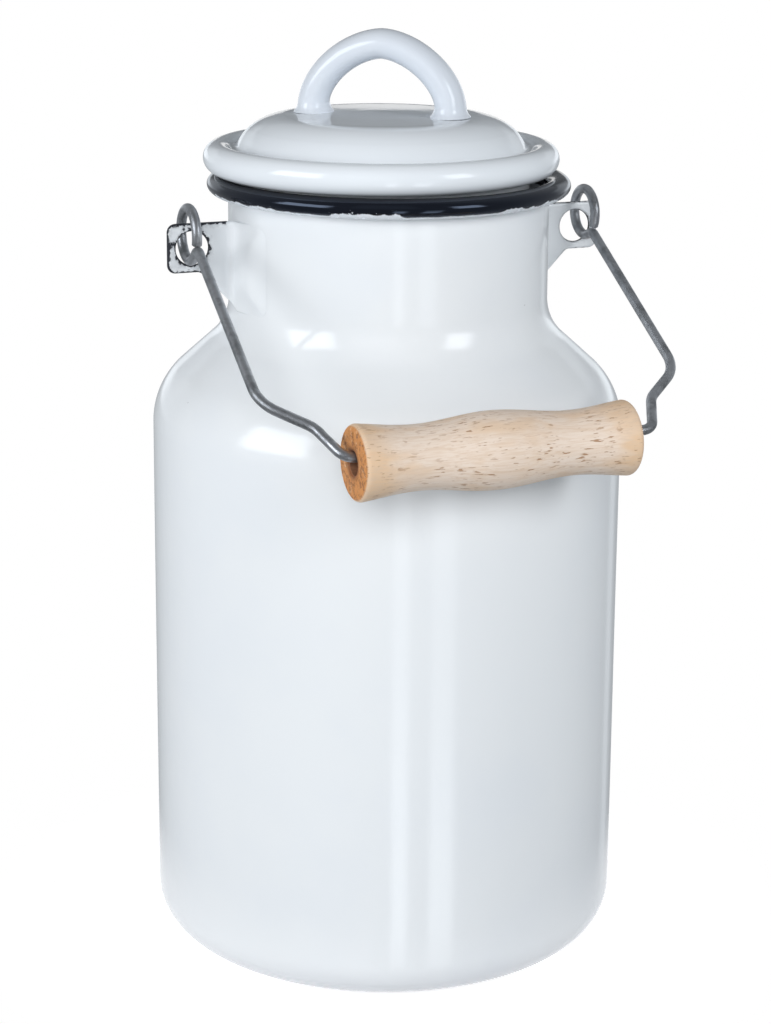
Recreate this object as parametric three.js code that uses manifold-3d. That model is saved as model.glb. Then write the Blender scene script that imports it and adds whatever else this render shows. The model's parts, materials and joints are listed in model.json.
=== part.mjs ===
import * as THREE from "three";
import { mergeVertices } from "three/addons/utils/BufferGeometryUtils.js";
import Module from "manifold-3d";

const wasm = await Module();
wasm.setup();

// A two-litre enamelled milk can with a loose lid and a wire bail.
// Lengths are millimetres and angles degrees. +Z is up, -Y is the front, and the two ears
// stand out along X. The origin is the middle of the base, on the floor.

// Sheet and gaps
const sheet = 1; // steel sheet with its enamel
const seatGap = 0.3; // between two pieces that touch

// Can
const bodyRadius = 67.5;
const wallHeight = 152.5; // top of the straight wall, where the shoulder starts
const cornerRadius = 12.4; // between the wall and the base
const seamHeight = 14; // the base pan is welded to the wall here
const shoulderRadius = 22; // outward bend at the top of the wall
const shoulderSlope = 48; // the shoulder's straight part, from the vertical
const throatRadius = 16; // inward bend at the foot of the neck
const neckRadius = 45.6;
const neckLength = 29.7; // straight neck, from the throat to the rolled rim
const beadRadius = 38; // the stiffening bead pressed into the base
const beadWidth = 8;
const beadHeight = 1.2;

// Rolled rim of the mouth
const rollReach = 5.4; // how far it stands out from the neck
const rollHeight = 5;
const rollWrap = 125; // how far the edge goes on round, past the outermost point

// Ears: two like pieces of bent sheet, a half turn apart
const earSheet = 1.6;
const earReach = 65.8; // outer edge, from the can's axis
const earDrop = 6.2; // from the underside of the rolled rim to the ear's top edge
const tabHeight = 13.9;
const tabCorner = 2.4;
const footWidth = 10.6; // the slanted foot starts this far out from the neck
const footDrop = 11.4; // and runs down this far below the tab
const earHoleRadius = 4.7;
const earHoleInset = 7.2; // hole centre, from the outer edge
const earHoleDrop = 7; // hole centre, from the top edge
const flangeLength = 15; // the part of the ear that is welded to the neck
const flangeCorner = 4;
const earBend = 1.5; // inner radius of the bend between the two

// Bail: one length of wire with an eye at each end, and each eye bent a little differently
const wireRadius = 1.4;
const leftEyeRadius = 7.2; // to the wire's centre line
const leftEyeRoot = 20; // where the eye runs out into the arm, below the arm's direction
const leftEyeOffset = 1.5; // the arm leaves the eye this far over its centre
const rightEyeRadius = 6.7;
const rightEyeRoot = 40;
const rightEyeOffset = -1.6;
const eyeInset = 5.4; // the eye's plane, from the ear's outer edge
const eyeRise = 4.4; // the hinge line, over the centre of the ear's hole
const eyeRest = 0.4; // between the smaller eye and the ear's top edge, where it hangs
const rootBend = 2.6;
const cutGap = 0.35; // between the eye's cut end and the arm
const armLength = 67.4; // from the hinge line to the bend inwards
const armBend = 12;
const crankStep = 11.9; // the wire steps in by this much
const crankRise = 10.5; // over this much of its length
const crankBend = 8;
const gripEntryBend = 4.4;
const entryRise = 11.7; // from the crank's far corner on to the line of the grip
const entryStandOff = 4.7; // from the grip's end face to the corner beside it

// Grip
const gripLength = 78.4;
const gripSlide = 2.5; // it has slid this far to the left along the wire
const gripMeanRadius = 9.6;
const gripSwell = 0.9; // how far it swells and narrows about that
const gripWaist = 22; // from the middle to each waist
const gripBoreRadius = 3.3;
const gripCorner = 1.2;
const gripClearance = 0.6; // between the can and the grip, with its slack turned inwards

// Lid
const skirtPlay = 2.5; // between the skirt and the neck, all round
const skirtDepth = 11.8; // how far it reaches into the mouth, below the rim's top
const skirtLip = 3; // height of the skirt's drawn-in lower edge
const curlRadius = 4.3; // the lid's turned-down edge
const curlReach = 46.1; // its centre line
const curlWrap = 118; // how far the edge goes on round, past the outermost point
const domeHeight = 12.2; // plateau over the centre of the curl
const plateauRadius = 26.8;
const domeShoulder = 16; // round shoulder of the dome
const grooveRadius = 1.4; // between the dome and its edge
const lidTurn = -39; // the lid stands turned in the mouth by this much
const lidLean = 158; // and pushed over until it touches, in this direction

// Bow on the lid
const bowSpan = 20.1; // centre line of a leg, from the middle
const bowRise = 19.35; // centre line, over the plateau
const bowFullness = 1.7; // 2 bends it like an ellipse, and less makes its legs lean in
const bowThickness = 8.5;
const bowWidth = 11.4;
const bowPad = 1.4; // the foot stands out from the leg by this much
const bowPadHeight = 1.2;

// Number of flat faces on round shapes
const turnedFaces = 40;
const gripFaces = 24;
const wireFaces = 8;
const bowFaces = 14;
const holeFaces = 24;

const radians = THREE.MathUtils.degToRad;
const finishes = {
  whiteEnamel: { color: 0xe2e6ec, roughness: 0.16, metalness: 0 },
  blackEnamel: { color: 0x0c0e14, roughness: 0.14, metalness: 0 },
  steelWire: { color: 0x5b6066, roughness: 0.42, metalness: 0.85 },
  beech: { color: 0xd9b994, roughness: 0.62, metalness: 0 },
};

// Heights and radii that follow from the sizes above
const slope = radians(shoulderSlope);
const shoulderEnd = new THREE.Vector2(
  bodyRadius - shoulderRadius * (1 - Math.cos(slope)),
  wallHeight + shoulderRadius * Math.sin(slope),
);
const throatStartRadius = neckRadius + throatRadius * (1 - Math.cos(slope));
const throatStartHeight =
  shoulderEnd.y + (shoulderEnd.x - throatStartRadius) / Math.tan(slope);
const neckFoot = throatStartHeight + throatRadius * Math.sin(slope);
const rimFoot = neckFoot + neckLength;
const rimTop = rimFoot + rollHeight;
const mouthRadius = neckRadius - sheet;

const earTop = rimFoot - earDrop;
const tabFoot = earTop - tabHeight;
const earHole = new THREE.Vector2(earReach - earHoleInset, earTop - earHoleDrop);
const eyePlane = earReach - eyeInset;
const hingeHeight = earHole.y + eyeRise;
const eyeHang = Math.min(leftEyeRadius, rightEyeRadius) - wireRadius - eyeRest;
const eyeForward = Math.sqrt(eyeHang ** 2 - (earTop - hingeHeight) ** 2) - earSheet / 2;

const gripDrop = gripBoreRadius - wireRadius - seatGap;
const gripRadius = gripMeanRadius + gripSwell;
const gripDistance = bodyRadius + gripClearance + gripDrop + gripRadius;
const armReach = armLength + crankRise + entryRise; // hinge line to the wire in the grip
const bailAngle = Math.acos((gripDistance - eyeForward) / armReach); // below the horizontal
const leftEye = { side: -1, radius: leftEyeRadius, root: leftEyeRoot, offset: leftEyeOffset };
const rightEye = { side: 1, radius: rightEyeRadius, root: rightEyeRoot, offset: rightEyeOffset };

const curlHeight = rimTop + seatGap + curlRadius;
const plateauHeight = curlHeight + domeHeight;
const lidShoulder = point(plateauRadius, plateauHeight - domeShoulder);
const lidCurl = point(curlReach, curlHeight);
const lidGroove = filletBetween(lidShoulder, domeShoulder, lidCurl, curlRadius);
const skirtRadius = mouthRadius - skirtPlay;
const lidShift = skirtPlay - seatGap;

// Points along an arc, or along part of an ellipse where a second radius is given.
function arc(centre, radius, from, to, steps, heightRadius = radius) {
  const points = [];
  for (let i = 0; i <= steps; i += 1) {
    const angle = radians(from + ((to - from) * i) / steps);
    points.push(
      new THREE.Vector2(
        centre.x + radius * Math.cos(angle),
        centre.y + heightRadius * Math.sin(angle),
      ),
    );
  }
  return points;
}

function point(radius, height) {
  return new THREE.Vector2(radius, height);
}

// An outline in radius and height, turned about the Z axis. It runs from the axis back to the
// axis, or closes on itself.
function turned(outline, faces = turnedFaces) {
  const ordered = THREE.ShapeUtils.isClockWise(outline) ? [...outline].reverse() : outline;
  const onAxis = ordered[0].x === 0 && ordered[ordered.length - 1].x === 0;
  const closed = onAxis ? ordered : [...ordered, ordered[0]];
  const geometry = new THREE.LatheGeometry(closed, faces);
  return geometry.rotateX(Math.PI / 2);
}

function solid(geometry) {
  const bare = geometry.clone();
  bare.deleteAttribute("normal");
  bare.deleteAttribute("uv");
  const merged = mergeVertices(bare, 1e-4);
  return new wasm.Manifold(
    new wasm.Mesh({
      numProp: 3,
      vertProperties: merged.attributes.position.array,
      triVerts: new Uint32Array(merged.index.array),
    }),
  );
}

function geometryOf(body) {
  const mesh = body.getMesh();
  const geometry = new THREE.BufferGeometry();
  geometry.setAttribute(
    "position",
    new THREE.BufferAttribute(new Float32Array(mesh.vertProperties), 3),
  );
  geometry.setIndex(new THREE.BufferAttribute(new Uint32Array(mesh.triVerts), 1));
  geometry.computeVertexNormals();
  return geometry;
}

function piece(name, geometry, finish) {
  const mesh = new THREE.Mesh(geometry, new THREE.MeshStandardMaterial(finish));
  mesh.name = name;
  return mesh;
}

// The outer face of the can between the base corner and the rim, grown outwards by a distance.
// A negative distance gives the inner face.
function wallFace(grow, from, to) {
  const convex = shoulderRadius + grow;
  const concave = throatRadius - grow;
  const shoulderCentre = point(bodyRadius - shoulderRadius, wallHeight);
  const throatCentre = point(neckRadius + throatRadius, neckFoot);
  return [
    point(bodyRadius + grow, from),
    ...arc(shoulderCentre, convex, 0, shoulderSlope, 7),
    ...arc(throatCentre, concave, 180 + shoulderSlope, 180, 6),
    point(neckRadius + grow, to),
  ];
}

function canBody() {
  const foot = seamHeight + seatGap / 2;
  const outer = wallFace(0, foot, rimFoot);
  const inner = wallFace(-sheet, foot, rimFoot);
  return turned([...outer, ...inner.reverse()]);
}

// A drawn pan: a short wall, a round corner and a floor with a pressed bead.
function basePan() {
  const rim = seamHeight - seatGap / 2;
  const cornerCentre = point(bodyRadius - cornerRadius, cornerRadius);
  const beadInner = beadRadius - beadWidth / 2;
  const beadOuter = beadRadius + beadWidth / 2;
  const under = [
    point(0, 0),
    point(beadInner - beadHeight, 0),
    point(beadInner, beadHeight),
    point(beadOuter, beadHeight),
    point(beadOuter + beadHeight, 0),
  ];
  const inside = under.map((p) => point(p.x, p.y + sheet));
  return turned([
    ...under,
    ...arc(cornerCentre, cornerRadius, -90, 0, 6),
    point(bodyRadius, rim),
    point(bodyRadius - sheet, rim),
    ...arc(cornerCentre, cornerRadius - sheet, 0, -90, 6),
    ...inside.reverse(),
  ]);
}

// The mouth's edge, rolled outwards and down until it nearly meets the neck again.
function mouthRim() {
  const halfWidth = (rollReach + sheet) / 2;
  const halfHeight = rollHeight / 2;
  const centre = point(mouthRadius + halfWidth, rimFoot + halfHeight);
  const foot = rimFoot + seatGap;
  const outside = arc(centre, halfWidth, 180, -rollWrap, 12, halfHeight);
  const inside = arc(centre, halfWidth - sheet, -rollWrap, 180, 10, halfHeight - sheet);
  return turned([point(mouthRadius, foot), ...outside, ...inside, point(neckRadius, foot)]);
}

// Everything the can's outer face takes up, with the gap that a welded piece keeps to it.
function neckForm() {
  const face = wallFace(seatGap, seamHeight, rimTop);
  return solid(turned([point(0, seamHeight), ...face, point(0, rimTop)]));
}

// The bent sheet seen from above: the flange along the neck, the bend and the plate.
function earSection() {
  const inner = neckRadius + seatGap;
  const outer = inner + earSheet;
  const half = earSheet / 2;
  const bendSide = half + earBend;
  const bendCentre = point(Math.sqrt((outer + earBend) ** 2 - bendSide ** 2), bendSide);
  const axis = point(0, 0);
  const start = angleTo(axis, bendCentre);
  const end = start + THREE.MathUtils.radToDeg(flangeLength / outer);
  const shape = new THREE.Shape([
    point(earReach, -half),
    point(earReach, half),
    ...arc(bendCentre, earBend, -90, start - 180, 4),
    ...arc(axis, outer, start, end, 5).slice(1),
    ...arc(axis, inner, end, start, 5),
    ...arc(bendCentre, earBend + earSheet, start + 180, 270, 4).slice(1),
  ]);
  const height = earTop - (tabFoot - footDrop);
  const geometry = new THREE.ExtrudeGeometry(shape, { depth: height, bevelEnabled: false });
  return solid(geometry.translate(0, 0, tabFoot - footDrop));
}

// The ear seen from the front, in X and Z: tab, slanted foot and the hole for the bail.
function earOutline() {
  const innerEdge = neckRadius / 2;
  const footTop = neckRadius + footWidth;
  const footEnd = neckRadius + seatGap + earSheet;
  const topCorner = point(earReach - tabCorner, earTop - tabCorner);
  const lowCorner = point(earReach - tabCorner, tabFoot + tabCorner);
  const shape = new THREE.Shape([
    point(innerEdge, tabFoot - footDrop),
    point(footEnd, tabFoot - footDrop),
    point(footTop, tabFoot),
    ...arc(lowCorner, tabCorner, -90, 0, 4),
    ...arc(topCorner, tabCorner, 0, 90, 4),
    point(innerEdge, earTop),
  ]);
  shape.holes.push(new THREE.Path(arc(earHole, earHoleRadius, 360, 0, holeFaces)));
  const depth = 2 * neckRadius;
  const geometry = new THREE.ExtrudeGeometry(shape, { depth, bevelEnabled: false });
  geometry.rotateX(Math.PI / 2);
  return solid(geometry.translate(0, depth / 2, 0));
}

// The ear seen from the side, in Y and Z: it rounds off the flange's two far corners.
function flangeOutline() {
  const foot = tabFoot - footDrop;
  const far = flangeLength;
  const shape = new THREE.Shape([
    point(-earSheet, foot),
    ...arc(point(far - flangeCorner, foot + flangeCorner), flangeCorner, -90, 0, 4),
    ...arc(point(far - flangeCorner, earTop - flangeCorner), flangeCorner, 0, 90, 4),
    point(-earSheet, earTop),
  ]);
  const geometry = new THREE.ExtrudeGeometry(shape, { depth: earReach, bevelEnabled: false });
  // The outline's x becomes Y and its y becomes Z, and the depth runs along X.
  const axes = new THREE.Matrix4().makeBasis(
    new THREE.Vector3(0, 1, 0),
    new THREE.Vector3(0, 0, 1),
    new THREE.Vector3(1, 0, 0),
  );
  return solid(geometry.applyMatrix4(axes));
}

function ear() {
  const blank = earSection().intersect(earOutline()).intersect(flangeOutline());
  return geometryOf(blank.subtract(neckForm()));
}

// A path through stations that stand closer together where it bends.
class StationPath extends THREE.Curve {
  constructor(stations) {
    super();
    this.stations = stations;
  }

  getPoint(t) {
    const last = this.stations.length - 1;
    const place = THREE.MathUtils.clamp(t * last, 0, last);
    const index = Math.min(Math.floor(place), last - 1);
    return this.stations[index].clone().lerp(this.stations[index + 1], place - index);
  }

  getUtoTmapping(u) {
    return u;
  }
}

// A round or oval section swept along stations.
function swept(section, stations) {
  return new THREE.ExtrudeGeometry(section, {
    steps: stations.length - 1,
    extrudePath: new StationPath(stations),
  });
}

// Corners joined by straight lines, each corner rounded to its own radius.
function roundedRoute(corners) {
  const stations = [corners[0].at];
  for (let i = 1; i < corners.length - 1; i += 1) {
    const { at, bend } = corners[i];
    const back = corners[i - 1].at.clone().sub(at).normalize();
    const ahead = corners[i + 1].at.clone().sub(at).normalize();
    const half = back.angleTo(ahead) / 2;
    const middle = back.clone().add(ahead).normalize();
    const centre = at.clone().addScaledVector(middle, bend / Math.sin(half));
    const start = at.clone().addScaledVector(back, bend / Math.tan(half));
    const end = at.clone().addScaledVector(ahead, bend / Math.tan(half));
    const turn = new THREE.Quaternion().setFromUnitVectors(
      start.clone().sub(centre).normalize(),
      end.clone().sub(centre).normalize(),
    );
    const steps = 5;
    for (let k = 0; k <= steps; k += 1) {
      const part = new THREE.Quaternion().slerp(turn, k / steps);
      stations.push(start.clone().sub(centre).applyQuaternion(part).add(centre));
    }
  }
  stations.push(corners[corners.length - 1].at);
  return stations;
}

// One half of the bail, from the cut end of its eye to the middle of the grip.
// In its own plane x runs across the can, y back along the arm and z up from that plane.
function bailHalf(eye) {
  const cut = Math.asin((wireRadius + cutGap + eye.offset) / eye.radius);
  const plane = eye.side * eyePlane;
  const eyeSteps = 18;
  const ring = arc(point(0, 0), eye.radius, cut * THREE.MathUtils.RAD2DEG, 360 - eye.root, eyeSteps);
  const stations = ring.map((p) => new THREE.Vector3(plane, -p.x, p.y));
  const leave = stations[stations.length - 1];
  const run = (eye.offset - leave.z) / Math.cos(radians(eye.root));
  const root = new THREE.Vector3(plane, leave.y - run * Math.sin(radians(eye.root)), eye.offset);
  const crankSide = eye.side * (eyePlane - crankStep);
  const entrySide = eye.side * (gripLength / 2 + entryStandOff);
  const arm = roundedRoute([
    { at: leave },
    { at: root, bend: rootBend },
    { at: new THREE.Vector3(plane, -armLength, 0), bend: armBend },
    { at: new THREE.Vector3(crankSide, -armLength - crankRise, 0), bend: crankBend },
    { at: new THREE.Vector3(entrySide, -armReach, 0), bend: gripEntryBend },
    { at: new THREE.Vector3(0, -armReach, 0) },
  ]);
  return [...stations, ...arm.slice(1)];
}

function bailWire() {
  const back = bailHalf(rightEye).slice(0, -1).reverse();
  const section = new THREE.Shape(arc(point(0, 0), wireRadius, 0, 360, wireFaces).slice(1));
  return swept(section, [...bailHalf(leftEye), ...back]);
}

// A turned grip: its radius swells and narrows along its length like a cosine.
function woodenGrip() {
  const halfLength = gripLength / 2;
  const steps = 16;
  const reach = halfLength - gripCorner;
  const surface = [];
  for (let i = 0; i <= steps; i += 1) {
    const along = -reach + (2 * reach * i) / steps;
    const swell = gripSwell * Math.cos((Math.PI * along) / gripWaist);
    surface.push(point(gripMeanRadius + swell, along));
  }
  const endRadius = surface[0].x - gripCorner;
  const outline = [
    point(gripBoreRadius, -halfLength),
    point(endRadius, -halfLength),
    ...surface,
    point(endRadius, halfLength),
    point(gripBoreRadius, halfLength),
  ];
  return turned(outline, gripFaces).rotateY(Math.PI / 2);
}

// The lid's outer face, from its middle over the dome and the groove and round the curl.
function lidFace(grow) {
  const groove = grooveRadius - grow;
  const dome = domeShoulder + grow;
  const curl = curlRadius + grow;
  const domeEnd = angleTo(lidShoulder, lidGroove);
  const curlStart = angleTo(lidCurl, lidGroove);
  return [
    point(0, plateauHeight + grow),
    ...arc(lidShoulder, dome, 90, domeEnd, 8),
    ...arc(lidGroove, groove, domeEnd - 180, curlStart - 180, 3).slice(1, -1),
    ...arc(lidCurl, curl, curlStart, -curlWrap, 12),
  ];
}

function angleTo(from, to) {
  return THREE.MathUtils.radToDeg(Math.atan2(to.y - from.y, to.x - from.x));
}

// The centre of the groove: its circle touches the dome's and the curl's from above.
function filletBetween(left, leftRadius, right, rightRadius) {
  const a = leftRadius + grooveRadius;
  const b = rightRadius + grooveRadius;
  const across = right.clone().sub(left);
  const distance = across.length();
  const along = (distance ** 2 + a ** 2 - b ** 2) / (2 * distance);
  const up = Math.sqrt(a ** 2 - along ** 2);
  const unit = across.normalize();
  const normal = point(-unit.y, unit.x);
  return left.clone().addScaledVector(unit, along).addScaledVector(normal, up);
}

function lidDome() {
  return turned([...lidFace(0), ...lidFace(-sheet).reverse()]);
}

// A collar welded under the groove, drawn in a little at its lower edge.
function lidSkirt() {
  const top = lidGroove.y - grooveRadius - sheet - seatGap;
  const foot = rimTop - skirtDepth;
  return turned([
    point(skirtRadius - sheet, top),
    point(skirtRadius - sheet, foot + skirtLip),
    point(skirtRadius - 2 * sheet, foot),
    point(skirtRadius - sheet, foot),
    point(skirtRadius, foot + skirtLip),
    point(skirtRadius, top),
  ]);
}

// The bow's centre line over its feet: like half an ellipse, with its legs leaning in more.
function bowLine(spring) {
  const power = 2 / bowFullness;
  return arc(point(0, 0), 1, 180, 0, 20).map((p) => {
    const x = Math.sign(p.x) * Math.abs(p.x) ** power;
    return point(x * bowSpan, spring + Math.abs(p.y) ** power * (bowRise - bowPadHeight));
  });
}

// A bent rod of oval section on two feet. The sweep starts straight up, so the section's first
// direction lies across the bow.
function lidBow() {
  const base = plateauHeight + seatGap;
  const bend = bowLine(base + bowPadHeight);
  const route = [point(-bowSpan, base), ...bend, point(bowSpan, base)];
  const stations = route.map((p) => new THREE.Vector3(p.x, 0, p.y));
  const section = arc(point(0, 0), bowWidth / 2, 0, 360, bowFaces, bowThickness / 2);
  const rod = solid(swept(new THREE.Shape(section.slice(1)), stations));
  const feet = [-bowSpan, bowSpan].map((x) => {
    const along = bowThickness / 2 + bowPad;
    const across = bowWidth / 2 + bowPad;
    const pad = new THREE.Shape(arc(point(x, 0), along, 0, 360, bowFaces, across).slice(1));
    const settings = { depth: bowPadHeight, bevelEnabled: false };
    const geometry = new THREE.ExtrudeGeometry(pad, settings);
    return solid(geometry.translate(0, 0, base));
  });
  return geometryOf(rod.add(feet[0]).add(feet[1]));
}

const group = new THREE.Group();

const can = new THREE.Group();
can.add(piece("can_body", canBody(), finishes.whiteEnamel));
can.add(piece("base_pan", basePan(), finishes.whiteEnamel));
can.add(piece("mouth_rim", mouthRim(), finishes.blackEnamel));
const rightEar = piece("right_ear", ear(), finishes.whiteEnamel);
const leftEar = piece("left_ear", ear(), finishes.whiteEnamel);
leftEar.rotation.z = Math.PI;
can.add(rightEar, leftEar);
group.add(can);

const bail = new THREE.Group();
bail.position.set(0, -eyeForward, hingeHeight);
bail.rotation.x = bailAngle;
bail.add(piece("bail_wire", bailWire(), finishes.steelWire));
group.add(bail);

const grip = piece("wooden_grip", woodenGrip(), finishes.beech);
const wireHeight = hingeHeight - armReach * Math.sin(bailAngle);
grip.position.set(-gripSlide, -gripDistance, wireHeight - gripDrop);
group.add(grip);

const lid = new THREE.Group();
lid.position.x = lidShift * Math.cos(radians(lidLean));
lid.position.y = lidShift * Math.sin(radians(lidLean));
lid.rotation.z = radians(lidTurn);
lid.add(piece("lid_dome", lidDome(), finishes.whiteEnamel));
lid.add(piece("lid_skirt", lidSkirt(), finishes.whiteEnamel));
lid.add(piece("lid_bow", lidBow(), finishes.whiteEnamel));
group.add(lid);

export default group;
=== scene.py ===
"""An enamelled milk can with a lid, a wire bail and a turned wooden grip, in a pale studio."""

import json
import math

import bmesh
import bpy
from bpy.props import FloatProperty, FloatVectorProperty, IntProperty, PointerProperty
from mathutils import Matrix, Vector, noise
from mathutils.geometry import delaunay_2d_cdt


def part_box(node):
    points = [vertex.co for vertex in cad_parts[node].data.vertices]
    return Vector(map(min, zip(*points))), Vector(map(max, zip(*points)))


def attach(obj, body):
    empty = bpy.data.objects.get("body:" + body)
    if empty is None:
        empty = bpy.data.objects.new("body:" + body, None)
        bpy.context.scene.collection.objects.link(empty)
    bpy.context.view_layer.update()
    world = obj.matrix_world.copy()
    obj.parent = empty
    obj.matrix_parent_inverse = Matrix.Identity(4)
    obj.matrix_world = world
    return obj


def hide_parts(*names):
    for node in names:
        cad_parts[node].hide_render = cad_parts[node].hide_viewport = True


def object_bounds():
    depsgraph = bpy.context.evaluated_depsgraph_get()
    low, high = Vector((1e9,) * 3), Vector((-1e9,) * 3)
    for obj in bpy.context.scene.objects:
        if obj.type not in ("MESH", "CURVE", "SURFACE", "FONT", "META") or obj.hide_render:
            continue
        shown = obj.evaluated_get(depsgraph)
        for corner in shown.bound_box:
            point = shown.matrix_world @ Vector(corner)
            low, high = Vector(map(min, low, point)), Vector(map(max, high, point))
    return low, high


bl_info = {
    "name": "Enamelled milk can",
    "version": (1, 0, 0),
    "blender": (4, 5, 0),
    "location": "3D View > Sidebar > Milk can",
    "description": "Builds an enamelled milk can and a studio around its measured frame",
    "category": "Object",
}

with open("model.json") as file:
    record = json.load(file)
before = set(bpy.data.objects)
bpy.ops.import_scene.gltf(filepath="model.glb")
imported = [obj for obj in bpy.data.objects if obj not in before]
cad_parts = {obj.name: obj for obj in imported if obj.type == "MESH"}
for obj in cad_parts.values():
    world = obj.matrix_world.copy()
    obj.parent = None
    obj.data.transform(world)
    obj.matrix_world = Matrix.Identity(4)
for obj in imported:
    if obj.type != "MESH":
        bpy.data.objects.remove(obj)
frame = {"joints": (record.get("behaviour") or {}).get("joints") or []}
cad_low, cad_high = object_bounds()
_, can_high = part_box("can_body")
rim_low, rim_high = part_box("mouth_rim")
ear_low, ear_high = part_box("right_ear")
grip_low, grip_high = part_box("wooden_grip")
dome_low, dome_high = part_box("lid_dome")
skirt_low, skirt_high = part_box("lid_skirt")
_, bow_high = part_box("lid_bow")
joint_places = {joint["name"]: joint.get("pos_m") for joint in frame["joints"]}
hinge_place = Vector(joint_places["bail_swing"])
wire_in_grip = Vector(joint_places["grip_spin"])

MM = 1000.0  # millimetres in a metre: the materials measure in millimetres
ON_AXIS = 1e-9  # a point closer to the axis than this lies on it
SHARP_EDGE = math.radians(42)  # faces that meet at more than this keep a sharp edge
WANDER_LENGTH = 0.0675  # height over which a turned piece changes its unevenness
CUT_BEVEL = 0.14  # rounded edge of the wire's cut ends, as a share of its radius
WELD_SINK = 0.05  # how deep a welded flange sinks into the neck, as a share of the sheet
EDGE_SPACING = 0.0006  # points along an ear's edge
FACE_SPACING = 0.0009  # points on an ear's faces
BORE_CHAMFER = 0.12  # chamfer of the grip's bore, as a share of its radius
CROWN_EDGE = 1.45  # where the lid's crown has run out, as a share of the plateau's radius
CROWNED_STEPS = 24  # how many steps of the dome's shoulder the crown reaches
POOL_DECAY = 2.2  # how fast the enamel pooled round the bow's feet thins out
LAMP_DISTANCE = 1.3
FLOOR_SIDES = 96
GLAZE_IOR = 1.52
WOOD_IOR = 1.45

METRES = {"precision": 5, "unit": "LENGTH", "subtype": "DISTANCE"}


def length(name, description, default):
    """A size of the model, in metres."""
    return FloatProperty(name=name, description=description, default=default, min=0, **METRES)


def offset(name, description, default):
    """A distance to one side or the other, in metres."""
    return FloatProperty(name=name, description=description, default=default, **METRES)


def angle(name, description, degrees):
    """An angle of the model, given here in degrees and kept in radians."""
    turn = {"default": math.radians(degrees), "unit": "ROTATION", "subtype": "ANGLE"}
    return FloatProperty(name=name, description=description, **turn)


def colour(name, description, default):
    """A linear colour with its alpha."""
    shade = {"default": (*default, 1.0), "size": 4, "min": 0, "max": 1, "subtype": "COLOR"}
    return FloatVectorProperty(name=name, description=description, **shade)


def amount(name, description, default):
    """A plain number from 0 up."""
    return FloatProperty(name=name, description=description, default=default, min=0)


def count(name, description, default):
    """How many faces go round a piece."""
    return IntProperty(name=name, description=description, default=default, min=6)


class MILKCAN_PG_can(bpy.types.PropertyGroup):
    """Sizes of the can's wall, shoulder, neck, base and rolled rim."""

    sheet: length("Sheet", "Thickness of the enamelled sheet", 0.001)
    body_radius: length("Body radius", "Outer radius of the straight wall", can_high.x)
    seam_height: length("Seam height", "Height of the weld between wall and base", 0.014)
    wall_height: length("Wall height", "Top of the straight wall", 0.1525)
    corner_radius: length("Base corner", "Round corner between wall and base", 0.0124)
    shoulder_radius: length("Shoulder radius", "Outward bend above the wall", 0.022)
    shoulder_slope: angle("Shoulder slope", "Slope of the shoulder from the vertical", 48)
    throat_radius: length("Throat radius", "Inward bend at the foot of the neck", 0.016)
    neck_radius: length("Neck radius", "Outer radius of the neck", 0.0456)
    rim_foot: length("Rim foot", "Height at which the neck meets its rolled rim", rim_low.z)
    rim_top: length("Rim top", "Top of the rolled rim", rim_high.z)
    rim_radius: length("Rim radius", "Outer radius of the rolled rim", rim_high.x)
    rim_glaze: length("Rim glaze", "How far the thick glaze builds up outside the rim", 0.0006)
    rim_wrap: angle("Rim wrap", "How far the rolled edge goes on, past its outermost point", 128)
    bead_radius: length("Bead radius", "Middle of the bead pressed into the base", 0.038)
    bead_width: length("Bead width", "Width of that bead", 0.008)
    bead_height: length("Bead height", "Depth of that bead", 0.0012)
    waviness: length("Waviness", "How far the wall wanders from a true circle", 0.00012)


class MILKCAN_PG_ear(bpy.types.PropertyGroup):
    """Sizes of the two ears."""

    sheet: length("Sheet", "Thickness of the bent sheet", 0.0016)
    reach: length("Reach", "Outer edge of the tab, from the can's axis", ear_high.x)
    top: length("Top", "Height of the ear's top edge", ear_high.z)
    foot: length("Foot", "Height of the ear's lower edge", ear_low.z)
    tab_height: length("Tab height", "Height of the tab that carries the bail", 0.0139)
    tab_corner: length("Tab corner", "Radius of the tab's corners", 0.0024)
    foot_width: length("Foot width", "Where the slanted foot starts, from the neck", 0.0106)
    hole_radius: length("Hole radius", "Radius of the hole for the bail", 0.0047)
    hole_inset: length("Hole inset", "Hole centre, from the tab's outer edge", 0.0072)
    hole_drop: length("Hole drop", "Hole centre, from the tab's top edge", 0.007)
    bend: length("Bend", "Inner radius of the bend between tab and flange", 0.0015)
    flange: length("Flange", "Length of the flange along the neck", 0.015)
    flange_corner: length("Flange corner", "Radius of the flange's corners", 0.004)
    weld_blend: length("Weld blend", "Width over which the enamel hides the flange's edge", 0.0075)


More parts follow.
